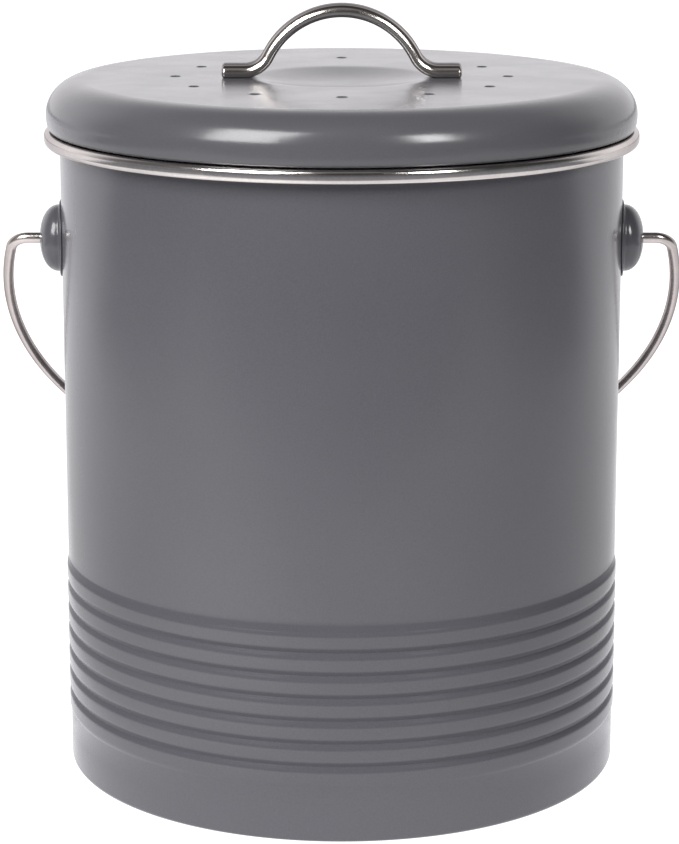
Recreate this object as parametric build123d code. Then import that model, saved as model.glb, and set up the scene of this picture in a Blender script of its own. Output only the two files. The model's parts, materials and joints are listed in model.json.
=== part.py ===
from build123d import *
from math import asin, atan2, cos, degrees, radians, sin, sqrt
import os

# A countertop compost bin: a ribbed steel bucket with a bright rolled rim, a wire bail in two ear
# cups, a plastic inner bucket, and a lift-off vented lid that carries a charcoal filter.
# Millimetres. The origin is the middle of the underside, +Z is up, -Y is the front, and the ears
# are on the X axis.

# Bucket wall, sheet steel
wall_radius = 90.0
wall_thickness = 0.8
foot_bend_radius = 1.6
foot_flange_width = 6.5

# Rolled ribs round the lower wall
rib_count = 7
rib_pitch = 7.26
lowest_rib_height = 20.8
rib_flat = 2.6
rib_rise = 0.5
rib_valley_depth = 0.35

# Base pan, pressed into the foot of the wall
base_pan_lift = 2.6
base_pan_thickness = 0.8

# Rolled rim bead
bead_radius = 2.8
bead_half_height = 2.35
bead_thickness = 0.7
bead_bite = 0.6
rim_height = 206.45
wall_rise_in_bead = 1.8

# Ears: a dome on a short neck, with a flange curved to the wall
pivot_drop = 33.85
ear_neck_height = 1.0
ear_flange_width = 1.7
ear_flange_thickness = 0.7
ear_dome_radius = 10.8
ear_dome_height = 6.3
ear_shell_thickness = 1.0

# Bail handle, round wire
wire_radius = 1.7
bail_arm_length = 10.2
bail_drop = 29.0
bail_corner_radius = 6.0
bail_head_radius = 2.7
bail_head_length = 1.2
bail_end_inset = 2.2

# Inner bucket, moulded plastic
liner_clearance = 1.0
liner_thickness = 1.6
liner_floor_lift = 0.8
liner_draft = 3.6
liner_corner_radius = 7.0
liner_lip_thickness = 1.5
liner_lip_round = 0.5

# Lid shell, sheet steel
lid_inset = 0.8
lid_thickness = 0.8
shoulder_width = 11.9
shoulder_height = 10.9
hem_height = 4.7
hem_tuck = 1.2
hem_turn_width = 2.6
dish_radius = 30.0
dish_depth = 2.5
dish_edge_radius = 22.0
vent_count = 12
vent_ring_radius = 53.0
vent_radius = 1.65

# Lid handle, a bent strap
strap_thickness = 4.0
strap_width = 11.5
strap_edge_radius = 1.3
strap_end_radius = 0.9
arch_radius = 26.2
arch_sink = 5.1
strap_bend_radius = 8.5
strap_foot_overhang = 4.6

# Handle screws and washers
screw_radius = 2.0
screw_head_radius = 3.9
screw_head_height = 2.2
screw_end_cover = 1.2
screw_recess_radius = 1.2
screw_recess_depth = 1.3
washer_radius = 4.6
washer_thickness = 0.8

# Inner lid, moulded plastic: deck, plug wall, filter collar and screw bosses
moulding_thickness = 1.6
deck_gap = 0.4
plug_clearance = 2.4
plug_length = 22.5
screw_boss_radius = 3.5
deck_vent_radius = 3.0
gasket_ridge_height = 0.9
gasket_ridge_width = 0.7

# Lid gasket, a soft ring with two fins
gasket_height = 4.0
gasket_back_width = 0.9
fin_thickness = 0.8

# Charcoal filter and its push-on cover
filter_thickness = 6.4
filter_side_gap = 0.5
filter_headroom = 0.8
cover_wall_gap = 7.9
cover_thickness = 1.6
cover_skirt_height = 6.4
cover_slot_count = 24
cover_slot_width = 3.2
cover_slot_inner_radius = 22.0
cover_slot_margin = 8.7
cover_tab_length = 22.0
cover_tab_thickness = 2.0
cover_tab_height = 8.0
cover_tab_round = 2.5

# Gaps: a fixed seat, a running fit, two parts that rest on each other, and how far a cut overruns
seat_gap = 0.05
running_gap = 0.08
rest_gap = 0.3
overrun = 2.0

# Places that follow from the sizes above
wall_inside = wall_radius - wall_thickness
wall_top = rim_height + wall_rise_in_bead
bead_centre_radius = wall_radius + bead_radius - bead_bite
bead_outside = bead_centre_radius + bead_radius
bead_top = rim_height + bead_half_height
base_pan_low = foot_bend_radius + base_pan_lift

pivot_height = rim_height - pivot_drop
ear_base = wall_radius + ear_neck_height
ear_flange_radius = ear_dome_radius + ear_flange_width

bail_across = ear_base + bail_arm_length
bail_corner_drop = bail_drop - bail_corner_radius
bail_radius = bail_corner_radius + sqrt(bail_across**2 + bail_corner_drop**2)
bail_reach = bail_drop + bail_radius
bail_rest_angle = degrees(asin((wall_radius + rest_gap + wire_radius) / bail_reach))

liner_radius = wall_inside - liner_clearance
liner_mouth = liner_radius - liner_thickness
liner_floor = base_pan_low + base_pan_thickness + liner_floor_lift
lip_low = wall_top + rest_gap

lid_radius = bead_outside - lid_inset
lid_low = bead_top + rest_gap
lid_widest = lid_low + hem_height
lid_top = lid_widest + shoulder_height
lid_under = lid_top - lid_thickness
lid_flat_radius = lid_radius - shoulder_width

screw_place = dish_radius + screw_boss_radius
screw_bite = strap_thickness - screw_end_cover
strap_half_length = screw_place + strap_foot_overhang

deck_high = lid_under - dish_depth - deck_gap
deck_low = deck_high - moulding_thickness
screw_head_low = deck_low - washer_thickness - screw_head_height
plug_radius = liner_mouth - plug_clearance
plug_low = deck_high - plug_length
gasket_low = plug_low + plug_length / 4
gasket_radius = liner_mouth - rest_gap - seat_gap
cover_high = screw_head_low - filter_headroom - filter_thickness
collar_low = cover_high + rest_gap
cover_radius = plug_radius - moulding_thickness - cover_wall_gap
collar_radius = cover_radius - cover_thickness - rest_gap
filter_radius = collar_radius - moulding_thickness - filter_side_gap


def turned(outline):
    # An outline in radius and height, turned about the axis of the bin
    return revolve(Plane.XZ * outline, Axis.Z)


def band(inner, outer, low, high):
    # A rectangle of the section, between two radii and two heights
    return Pos((inner + outer) / 2, (low + high) / 2) * Rectangle(outer - inner, high - low)


def rib_side(centre, level, arc, reach):
    # The arc from the end of a rib's flat crest out to a height of reach, listed upwards
    start = (centre + arc, level)
    middle = (centre + sqrt(arc**2 - (reach / 2) ** 2), level + reach / 2)
    end = (centre + sqrt(arc**2 - reach**2), level + reach)
    if reach < 0:
        return ThreePointArc(end, middle, start)
    return ThreePointArc(start, middle, end)


def rib_edges(inset):
    # The ribs from the lowest up: flat crests between arcs that meet in valleys
    height = rib_rise + rib_valley_depth
    half_flat = rib_flat / 2
    reach = rib_pitch / 2 - half_flat
    arc = (height**2 + reach**2) / (2 * height) - inset
    crest_radius = wall_radius + rib_rise - inset
    centre = crest_radius - arc
    run_out = sqrt(arc**2 - (arc - rib_rise) ** 2)
    edges = []
    for number in range(rib_count):
        crest = lowest_rib_height + number * rib_pitch
        below = run_out if number == 0 else reach
        above = run_out if number == rib_count - 1 else reach
        low, high = crest - half_flat, crest + half_flat
        edges += [
            rib_side(centre, low, arc, -below),
            Line((crest_radius, low), (crest_radius, high)),
            rib_side(centre, high, arc, above),
        ]
    return edges


def wall_outline(inset, top):
    # The filled outline of the wall's outside, or of its inside when inset by the sheet
    side = wall_radius - inset
    bend_start = wall_radius - foot_bend_radius
    ribs = rib_edges(inset)
    bend = RadiusArc((bend_start, inset), (side, foot_bend_radius), -(foot_bend_radius - inset))
    edges = [
        Line((0, inset), (bend_start, inset)),
        bend,
        Line((side, foot_bend_radius), ribs[0] @ 0),
        *ribs,
        Line(ribs[-1] @ 1, (side, top)),
        Line((side, top), (0, top)),
        Line((0, top), (0, inset)),
    ]
    return make_face(edges)


def bucket_wall():
    outside = turned(wall_outline(0, wall_top))
    hollow = turned(wall_outline(wall_thickness, wall_top + overrun))
    foot_hole = Cylinder(wall_radius - foot_bend_radius - foot_flange_width, overrun * 2)
    return outside - hollow - foot_hole


def bucket_base():
    outer = wall_inside - seat_gap
    plate = band(0, outer, base_pan_low, base_pan_low + base_pan_thickness)
    skirt = band(outer - base_pan_thickness, outer, foot_bend_radius + seat_gap, base_pan_low)
    return turned(plate + skirt)


def rim_ring():
    bead = Pos(bead_centre_radius, rim_height) * Ellipse(bead_radius, bead_half_height)
    bore_size = (bead_radius - bead_thickness, bead_half_height - bead_thickness)
    bore = Pos(bead_centre_radius, rim_height) * Ellipse(*bore_size)
    lap = band(0, wall_radius + seat_gap, rim_height - bead_radius, rim_height + bead_radius)
    return turned(bead - bore - lap)


def quarter(centre, across, up, start):
    # A quarter of an ellipse, anticlockwise from the start angle
    return EllipticalCenterArc(centre, across, up, start, arc_size=90)


def ear_cup_right():
    # A hollow half ellipsoid on its neck, and a flange. Both are cut to the round wall, and the
    # flange's outer face is curved with it. A hole lets the wire in.
    foot = wall_radius + seat_gap
    span = ear_flange_radius * 2 + overrun
    base = ear_base + seat_gap
    sunk = foot - overrun
    inner_radius = ear_dome_radius - ear_shell_thickness
    inner_height = ear_dome_height - ear_shell_thickness
    shell = make_face(
        [
            quarter((base, 0), ear_dome_height, ear_dome_radius, 0),
            Line((base, ear_dome_radius), (sunk, ear_dome_radius)),
            Line((sunk, ear_dome_radius), (sunk, inner_radius)),
            Line((sunk, inner_radius), (base, inner_radius)),
            quarter((base, 0), inner_height, inner_radius, 0),
            Line((base + inner_height, 0), (base + ear_dome_height, 0)),
        ]
    )
    flange = revolve(band(sunk, base, inner_radius, ear_flange_radius), Axis.X)
    flange &= Cylinder(foot + ear_flange_thickness, span)
    cup = revolve(shell, Axis.X) + flange - Cylinder(foot, span)
    hole = Cylinder(wire_radius + running_gap, ear_dome_height)
    cup -= Pos(base + ear_dome_height, 0, 0) * Rot(0, 90, 0) * hole
    return Pos(0, 0, pivot_height) * cup


def bail_handle():
    # One wire: a large arc, two tight corners and two straight ends with upset heads.
    # The corner arcs touch the large arc from inside and the straight ends at the pivot line.
    spread = atan2(bail_corner_drop, bail_across)
    join = (bail_radius * cos(spread), -bail_drop + bail_radius * sin(spread))
    corner_turn = (radians(90) + spread) / 2
    corner_mid = (
        bail_across + bail_corner_radius * sin(corner_turn),
        bail_corner_radius * cos(corner_turn) - bail_corner_radius,
    )
    end = ear_base + bail_end_inset
    right = [
        Line((end, 0), (bail_across, 0)),
        ThreePointArc((bail_across, 0), corner_mid, join),
    ]
    bottom = ThreePointArc(join, (0, -bail_reach), (-join[0], join[1]))
    left = [edge.mirror(Plane.YZ) for edge in right]
    path = Plane.XZ * Wire([*right, bottom, *left])
    section = Plane((end, 0, 0), x_dir=(0, 1, 0), z_dir=(1, 0, 0)) * Circle(wire_radius)
    wire = sweep(section, path)
    head = Rot(0, 90, 0) * Cylinder(bail_head_radius, bail_head_length)
    head = Pos(end + bail_head_length / 2, 0, 0) * head
    bail = wire + head + mirror(head, Plane.YZ)
    return Pos(0, 0, pivot_height) * Rot(bail_rest_angle, 0, 0) * bail


def liner_body(radius, corner, floor, top):
    # A tapered round pot with a rounded bottom edge
    corners = [(0, floor), (radius - liner_draft, floor), (radius, top), (0, top)]
    pot = turned(make_face(Polyline(*corners, close=True)))
    return fillet(pot.edges().filter_by(GeomType.CIRCLE).sort_by(Axis.Z)[0], corner)


def inner_bucket():
    lip_high = lip_low + liner_lip_thickness
    outside = liner_body(liner_radius, liner_corner_radius, liner_floor, lip_high)
    lip = turned(band(0, wall_radius, lip_low, lip_high))
    lip = fillet(lip.edges().filter_by(GeomType.CIRCLE).sort_by(Axis.Z)[-1], liner_lip_round)
    hollow = liner_body(
        liner_mouth,
        liner_corner_radius - liner_thickness,
        liner_floor + liner_thickness,
        lip_high + overrun,
    )
    return outside + lip - hollow


def lid_outline():
    # The lid's sheet from the middle of the dish out over the shoulder, round the hem and back
    reach = (dish_radius**2 + dish_depth**2) / (2 * dish_depth)
    bowl = reach - dish_edge_radius
    bowl_centre = lid_top - dish_depth + bowl
    edge_centre = lid_top - dish_edge_radius
    edges = []
    for depth in (0, lid_thickness):
        bowl_arc = bowl + depth
        edge_arc = dish_edge_radius - depth
        share = bowl_arc / reach
        meet = (dish_radius * share, bowl_centre - (bowl_centre - edge_centre) * share)
        half = asin(dish_radius / reach) / 2
        bowl_mid = (bowl_arc * sin(half), bowl_centre - bowl_arc * cos(half))
        edge_mid = (dish_radius - edge_arc * sin(half), edge_centre + edge_arc * cos(half))
        top = lid_top - depth
        widest = lid_radius - depth
        hem_low = lid_low + depth
        hem_centre = lid_radius - hem_tuck
        edges += [
            ThreePointArc((0, bowl_centre - bowl_arc), bowl_mid, meet),
            ThreePointArc(meet, edge_mid, (dish_radius, top)),
            Line((dish_radius, top), (lid_flat_radius, top)),
            quarter((lid_flat_radius, lid_widest), shoulder_width - depth, shoulder_height - depth, 0),
            quarter((hem_centre, lid_widest), widest - hem_centre, lid_widest - hem_low, 270),
            Line((hem_centre, hem_low), (lid_radius - hem_turn_width, hem_low)),
        ]
    hem_end = lid_radius - hem_turn_width
    edges += [
        Line((hem_end, lid_low), (hem_end, lid_low + lid_thickness)),
        Line((0, lid_top - dish_depth), (0, lid_under - dish_depth)),
    ]
    return make_face(edges)


def screw_places():
    return [Pos(side * screw_place, 0, 0) for side in (-1, 1)]


def lid_shell():
    shell = turned(lid_outline())
    vent = Pos(0, 0, lid_under) * Cylinder(vent_radius, overrun * 2)
    shell -= PolarLocations(vent_ring_radius, vent_count) * vent
    hole = Pos(0, 0, lid_under) * Cylinder(screw_radius + rest_gap, overrun * 2)
    return shell - [place * hole for place in screw_places()]


def lid_handle():
    # A rounded strap along two feet, two small bends and one large arch
    foot_middle = lid_top + strap_thickness / 2
    arch_centre = lid_top - arch_sink
    bend_centre = foot_middle + strap_bend_radius
    rise = bend_centre - arch_centre
    bend_across = sqrt((arch_radius + strap_bend_radius) ** 2 - rise**2)
    slope = atan2(rise, bend_across)
    join = (arch_radius * cos(slope), arch_centre + arch_radius * sin(slope))
    half_turn = (radians(90) - slope) / 2
    bend_mid = (
        bend_across - strap_bend_radius * sin(half_turn),
        bend_centre - strap_bend_radius * cos(half_turn),
    )
    right = [
        Line((strap_half_length, foot_middle), (bend_across, foot_middle)),
        ThreePointArc((bend_across, foot_middle), bend_mid, join),
    ]
    arch = ThreePointArc(join, (0, arch_centre + arch_radius), (-join[0], join[1]))
    left = [edge.mirror(Plane.YZ) for edge in right]
    path = Plane.XZ * Wire([*right, arch, *left])
    start = Plane((strap_half_length, 0, foot_middle), x_dir=(0, 1, 0), z_dir=(-1, 0, 0))
    strap = sweep(start * RectangleRounded(strap_width, strap_thickness, strap_edge_radius), path)
    ends = strap.faces().sort_by(Axis.X)
    strap = fillet(ends[0].edges() + ends[-1].edges(), strap_end_radius)
    tap = Pos(0, 0, lid_top + screw_bite / 2) * Cylinder(screw_radius + seat_gap, screw_bite)
    return strap - [place * tap for place in screw_places()]


def handle_washers():
    washer = turned(band(screw_radius + seat_gap, washer_radius, deck_low - washer_thickness, deck_low))
    return [place * washer for place in screw_places()]


def handle_screws():
    head_high = screw_head_low + screw_head_height
    tip = lid_top + screw_bite - seat_gap
    head = band(0, screw_head_radius, screw_head_low, head_high)
    screw = turned(head + band(0, screw_radius, head_high, tip))
    key = RegularPolygon(screw_recess_radius, 6)
    key = extrude(Pos(0, 0, screw_head_low) * key, screw_recess_depth)
    return [place * (screw - key) for place in screw_places()]


def inner_lid():
    # Deck, plug wall with a ridge under the gasket, spacer ring, and the collar the cover pushes on
    inside = plug_radius - moulding_thickness
    section = band(0, plug_radius, deck_low, deck_high)
    section += band(inside, plug_radius, plug_low, deck_low)
    ridge_low = gasket_low - seat_gap - gasket_ridge_height
    section += band(inside, plug_radius + gasket_ridge_width, ridge_low, gasket_low - seat_gap)
    section += band(lid_flat_radius - moulding_thickness, lid_flat_radius, deck_low, lid_under)
    section += band(collar_radius - moulding_thickness, collar_radius, collar_low, deck_low)
    moulding = turned(section)
    pillar = turned(band(0, screw_boss_radius, deck_low, lid_under))
    moulding += [place * pillar for place in screw_places()]
    hole = Pos(0, 0, deck_high) * Cylinder(screw_radius + rest_gap, plug_length)
    moulding -= [place * hole for place in screw_places()]
    vent = Pos(0, 0, deck_low) * Cylinder(deck_vent_radius, overrun * 2)
    return moulding - PolarLocations(vent_ring_radius, vent_count, start_angle=180 / vent_count) * vent


def lid_gasket():
    inner = plug_radius + seat_gap
    back = inner + gasket_back_width
    high = gasket_low + gasket_height
    section = band(inner, back, gasket_low, high)
    section += band(inner, gasket_radius, gasket_low, gasket_low + fin_thickness)
    section += band(inner, gasket_radius, high - fin_thickness, high)
    return turned(section)


def filter_cover():
    # A slotted plate with a skirt that pushes on over the collar, and a tab to pull it by
    skirt_inner = cover_radius - cover_thickness
    cover_low = cover_high - cover_thickness
    section = band(0, cover_radius, cover_low, cover_high)
    section += band(skirt_inner, cover_radius, cover_high, cover_high + cover_skirt_height)
    cover = turned(section)
    slot_outer_radius = filter_radius - cover_slot_margin
    slot_length = slot_outer_radius - cover_slot_inner_radius
    slot_middle = (slot_outer_radius + cover_slot_inner_radius) / 2
    slot = extrude(SlotOverall(slot_length, cover_slot_width), cover_thickness + overrun * 2)
    slot = Pos(0, 0, cover_low - overrun) * slot
    cover -= PolarLocations(slot_middle, cover_slot_count) * slot
    tab = Box(cover_tab_length, cover_tab_thickness, cover_tab_height)
    tab = fillet(tab.edges().filter_by(Axis.Y).group_by(Axis.Z)[0], cover_tab_round)
    return cover + Pos(0, 0, cover_low - cover_tab_height / 2) * tab


def charcoal_filter():
    return turned(band(0, filter_radius, cover_high, cover_high + filter_thickness))


def write(name, shape):
    # One file for each node. A list of shapes becomes a group of separate solids.
    if isinstance(shape, list):
        shape = Compound(children=shape)
    export_step(shape, os.path.join("parts", name + ".step"))


os.makedirs("parts", exist_ok=True)
right_ear = ear_cup_right()
write("bucket_wall", bucket_wall())
write("bucket_base", bucket_base())
write("rim_ring", rim_ring())
write("ear_cup_right", right_ear)
write("ear_cup_left", mirror(right_ear, Plane.YZ))
write("bail_handle", bail_handle())
write("inner_bucket", inner_bucket())
write("lid_shell", lid_shell())
write("lid_handle", lid_handle())
write("handle_screws", handle_screws())
write("handle_washers", handle_washers())
write("inner_lid", inner_lid())
write("lid_gasket", lid_gasket())
write("filter_cover", filter_cover())
write("charcoal_filter", charcoal_filter())
print("bail rest angle", bail_rest_angle, "swing", 360 - 2 * bail_rest_angle)
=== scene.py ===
import json
from math import asin, atan2, cos, degrees, pi, radians, sin, sqrt

import bpy
import numpy as np
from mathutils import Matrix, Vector


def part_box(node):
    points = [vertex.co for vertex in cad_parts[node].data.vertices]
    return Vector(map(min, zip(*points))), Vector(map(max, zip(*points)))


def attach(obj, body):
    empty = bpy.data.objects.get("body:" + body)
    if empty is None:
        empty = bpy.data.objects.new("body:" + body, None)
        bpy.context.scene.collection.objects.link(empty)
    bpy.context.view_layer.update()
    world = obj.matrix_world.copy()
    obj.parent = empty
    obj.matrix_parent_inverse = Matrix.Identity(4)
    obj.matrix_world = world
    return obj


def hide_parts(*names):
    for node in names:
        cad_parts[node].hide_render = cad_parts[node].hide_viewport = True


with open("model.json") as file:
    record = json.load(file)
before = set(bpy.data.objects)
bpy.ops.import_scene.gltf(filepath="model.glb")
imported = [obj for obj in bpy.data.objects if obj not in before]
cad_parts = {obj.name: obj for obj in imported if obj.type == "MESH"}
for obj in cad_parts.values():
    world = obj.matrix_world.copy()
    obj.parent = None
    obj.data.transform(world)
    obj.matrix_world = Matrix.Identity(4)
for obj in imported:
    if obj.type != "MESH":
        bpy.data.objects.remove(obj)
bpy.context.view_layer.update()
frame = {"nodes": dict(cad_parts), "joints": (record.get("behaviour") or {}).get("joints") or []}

# A countertop compost bin. Metres, +Z up, -Y is the front, and the ears stand out along X.
mm = 0.001
pivot = [joint for joint in frame["joints"] if joint["name"] == "bail_swing"][0]["pos_m"]
pivotHeight = pivot[2]

# Low and high corners of the CAD nodes that the surfaces are fitted to
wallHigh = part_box("bucket_wall")[1]
rimLow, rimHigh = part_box("rim_ring")
earLow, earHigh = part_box("ear_cup_right")
lidLow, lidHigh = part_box("lid_shell")
strapLow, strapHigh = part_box("lid_handle")
gasketLow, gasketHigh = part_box("lid_gasket")
feltLow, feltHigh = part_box("charcoal_filter")


class Wire:
    # One output in a node tree. Sums, differences, products and quotients of it add Math nodes.
    def __init__(self, tree, socket=None):
        self.tree = tree
        self.socket = socket

    def node(self, kind, settings, sockets, output=0):
        # Adds a node: its settings first, then a value or a link for each socket named
        made = self.tree.nodes.new(kind)
        for key, value in settings.items():
            setattr(made, key, value)
        for key, value in sockets.items():
            if isinstance(value, Wire):
                self.tree.links.new(value.socket, made.inputs[key])
            else:
                made.inputs[key].default_value = value
        return Wire(self.tree, made.outputs[output])

    def maths(self, operation, *values):
        return self.node("ShaderNodeMath", {"operation": operation}, dict(enumerate(values)))

    def __add__(self, other):
        return self.maths("ADD", self, other)

    def __sub__(self, other):
        return self.maths("SUBTRACT", self, other)

    def __rsub__(self, other):
        return self.maths("SUBTRACT", other, self)

    def __mul__(self, other):
        return self.maths("MULTIPLY", self, other)

    def __truediv__(self, other):
        return self.maths("DIVIDE", self, other)

    __radd__ = __add__
    __rmul__ = __mul__


def noise(root, coords, scale, detail=2.0, roughness=0.5):
    # A value that wanders about one half
    sockets = {"Vector": coords, "Scale": scale, "Detail": detail, "Roughness": roughness}
    return root.node("ShaderNodeTexNoise", {}, sockets)


def stretched(root, coords, scale):
    # The coordinates scaled by a different amount along each axis
    return root.node("ShaderNodeMapping", {}, {"Vector": coords, "Scale": scale})


def ramp(root, value, low, high, bottom=0.0, top=1.0):
    # A smooth step from bottom to top as the value goes from low to high
    sockets = {0: value, 1: low, 2: high, 3: bottom, 4: top}
    return root.node("ShaderNodeMapRange", {"interpolation_type": "SMOOTHSTEP"}, sockets)


def mixed(first, second, share):
    # The first value times its share, plus the second times what is left of 1
    return first * share + second * (1 - share)


def blendColours(root, share, first, second):
    # The first colour where the share is 0, the second where it is 1. Sockets 6 and 7 and output 2
    # are the node's own for colours.
    return root.node("ShaderNodeMix", {"data_type": "RGBA"}, {0: share, 6: first, 7: second}, 2)


def bump(root, height, distance, strength=1.0, normal=None):
    # Tilts the light as if the height stood out by the distance, on top of a normal if one is given
    sockets = {"Height": height, "Distance": distance, "Strength": strength}
    if normal is not None:
        sockets["Normal"] = normal
    return root.node("ShaderNodeBump", {}, sockets)


def axisOf(root, coords, axis):
    # One of the coordinates, "X", "Y" or "Z"
    return root.node("ShaderNodeSeparateXYZ", {}, {0: coords}, axis)


def measured(root, operation, *vectors):
    # The length of a vector, or the distance or dot product of two
    sockets = dict(enumerate(vectors))
    return root.node("ShaderNodeVectorMath", {"operation": operation}, sockets, "Value")


def startMaterial(name):
    # An empty material and the root of its node tree
    material = bpy.data.materials.new(name)
    material.use_nodes = True
    material.node_tree.nodes.clear()
    return material, Wire(material.node_tree)


def finishMaterial(root, surface, share=None, changes=None):
    # One shader, or where a share is given, a second one with some of its settings changed
    shader = root.node("ShaderNodeBsdfPrincipled", {}, surface)
    if share is not None:
        other = root.node("ShaderNodeBsdfPrincipled", {}, {**surface, **changes})
        shader = root.node("ShaderNodeMixShader", {}, {0: share, 1: shader, 2: other})
    out = root.tree.nodes.new("ShaderNodeOutputMaterial")
    root.tree.links.new(shader.socket, out.inputs["Surface"])


def coordinates(root, kind):
    # "Object" or "UV" on a piece, and "Generated" in the world, where it is the direction looked in
    return root.node("ShaderNodeTexCoord", {}, {}, kind)


print("materials")

# Steel sheet of the bucket, with its ribs, its foot and the weld at the back. The close-up of the
# seam is its half width and its step, in degrees.
wall = dict(thickness=0.8 * mm, footBend=1.6 * mm, footFlange=6.5 * mm, ribCount=7, ribPitch=7.26 * mm,
            lowestRib=20.8 * mm, ribFlat=2.6 * mm, ribRise=0.5 * mm, ribValley=0.35 * mm, valleyPasses=5,
            plainFrom=4 * mm, edgeRound=0.25 * mm, seamHeight=0.10 * mm, seamWidth=0.75 * mm,
            seamFade=3.2 * mm, seamCloseUp=(1.5, 0.2), columns=330, ribSteps=9, plainSteps=34,
            bendSteps=8, edgeSteps=7, insideShare=0.5)

# Powder coat: a dark pigment under a satin resin skin, which is matt in the valleys of the ribs.
# Here and below, a range holds the noise values between which the colour and the gloss change.
coatPattern = dict(mottleScale=16, handledScale=45, speckleShare=0.7, handledShare=0.6, range=(0.3, 0.7))
bodyCoat = dict(dark=(0.0695, 0.069, 0.078, 1), light=(0.083, 0.0825, 0.0925, 1),
                speckleScale=2400, peelScale=430, peelDepth=0.008 * mm, grainDepth=0.002 * mm,
                roughLow=0.17, roughHigh=0.23, specular=0.5, valleyHalf=1.6 * mm, valleySoft=0.35 * mm,
                valleySpecular=0.03, pastLastValley=(0.4, 0.5))
lidCoat = dict(dark=(0.072, 0.071, 0.078, 1), light=(0.082, 0.081, 0.089, 1),
               speckleScale=2600, peelScale=330, peelDepth=0.009 * mm, grainDepth=0.0015 * mm,
               roughLow=0.18, roughHigh=0.24, specular=0.5)


def ribValleys(root, coords, look):
    # 1 in a valley, else 0. Counted in pitches from the lowest valley, which is half a pitch above
    # the lowest rib, each valley is at a whole number, and the last is the one above the top rib.
    half, soft = look["valleyHalf"], look["valleySoft"]
    height = axisOf(root, coords, "Z")
    pitches = (height - wall["lowestRib"] - wall["ribPitch"] / 2) / wall["ribPitch"]
    away = root.maths("PINGPONG", root.maths("ABSOLUTE", pitches), 0.5) * wall["ribPitch"]
    middle = (wall["ribCount"] - 1) / 2
    fromMiddle = root.maths("ABSOLUTE", pitches - middle)
    near, far = look["pastLastValley"]
    among = 1 - ramp(root, fromMiddle, middle + near, middle + far)
    return among * (1 - ramp(root, away, half - soft, half + soft))


def powderCoat(name, look):
    # Pigment speckle and faint mottling in the colour, orange peel and fine grain in the surface,
    # and a second shader with less gloss for the valleys of a ribbed piece
    material, root = startMaterial(name)
    coords = coordinates(root, "Object")
    speckle = noise(root, coords, look["speckleScale"], detail=2.0, roughness=0.6)
    mottle = noise(root, coords, coatPattern["mottleScale"], detail=3.0)
    peel = noise(root, coords, look["peelScale"], detail=1.0)
    handled = noise(root, coords, coatPattern["handledScale"], detail=4.0, roughness=0.6)
    pigment = mixed(speckle, mottle, coatPattern["speckleShare"])
    share = ramp(root, pigment, *coatPattern["range"])
    colour = blendColours(root, share, look["dark"], look["light"])
    wear = mixed(handled, speckle, coatPattern["handledShare"])
    rough = ramp(root, wear, *coatPattern["range"], look["roughLow"], look["roughHigh"])
    normal = bump(root, peel, look["peelDepth"])
    normal = bump(root, speckle, look["grainDepth"], normal=normal)
    surface = {"Base Color": colour, "Roughness": rough, "Normal": normal,
               "Specular IOR Level": look["specular"]}
    if "valleyHalf" in look:
        valleys = ribValleys(root, coords, look)
        finishMaterial(root, surface, valleys, {"Specular IOR Level": look["valleySpecular"]})
    else:
        finishMaterial(root, surface)
    return material


# Polished metals: the lines of the polishing wheel run round the piece, along its length. The edge
# colour tints the metal where it is seen at a slant.
metalPattern = dict(lineScale=6, waveScale=190, hazeScale=70, hazeShare=0.5, range=(0.35, 0.65))
rimSteel = dict(bright=(0.66, 0.62, 0.595, 1), dull=(0.55, 0.52, 0.505, 1), edge=(0.62, 0.60, 0.60, 1),
                alongScale=5, acrossScale=90, roughLow=0.11, roughHigh=0.18, lineDepth=0.0012 * mm,
                wave=0.006 * mm)
bailSteel = dict(bright=(0.61, 0.56, 0.54, 1), dull=(0.47, 0.43, 0.415, 1), edge=(0.33, 0.30, 0.29, 1),
                 alongScale=9, acrossScale=60, roughLow=0.2, roughHigh=0.28, lineDepth=0.002 * mm,
                 wave=0.008 * mm)
handleNickel = dict(bright=(0.70, 0.655, 0.62, 1), dull=(0.58, 0.54, 0.51, 1), edge=(0.13, 0.125, 0.13, 1),
                    alongScale=5, acrossScale=30, roughLow=0.13, roughHigh=0.2, lineDepth=0.0008 * mm,
                    wave=0.03 * mm)


def polishedMetal(name, look):
    # Fine lines along the piece from its own map and haze in the colour and the gloss, and the same
    # lines on slow waves in the surface
    material, root = startMaterial(name)
    across = stretched(root, coordinates(root, "UV"), (look["alongScale"], look["acrossScale"], 1))
    lines = noise(root, across, metalPattern["lineScale"], detail=4.0, roughness=0.7)
    coords = coordinates(root, "Object")
    waves = noise(root, coords, metalPattern["waveScale"], detail=1.0)
    haze = noise(root, coords, metalPattern["hazeScale"], detail=5.0, roughness=0.65)
    polish = mixed(haze, lines, metalPattern["hazeShare"])
    share = ramp(root, polish, *metalPattern["range"])
    colour = blendColours(root, share, look["dull"], look["bright"])
    rough = ramp(root, polish, *metalPattern["range"], look["roughLow"], look["roughHigh"])
    normal = bump(root, waves, look["wave"])
    normal = bump(root, lines, look["lineDepth"], normal=normal)
    finishMaterial(root, {"Base Color": colour, "Roughness": rough, "Normal": normal, "Metallic": 1.0,
                          "Specular Tint": look["edge"]})
    return material


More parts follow.
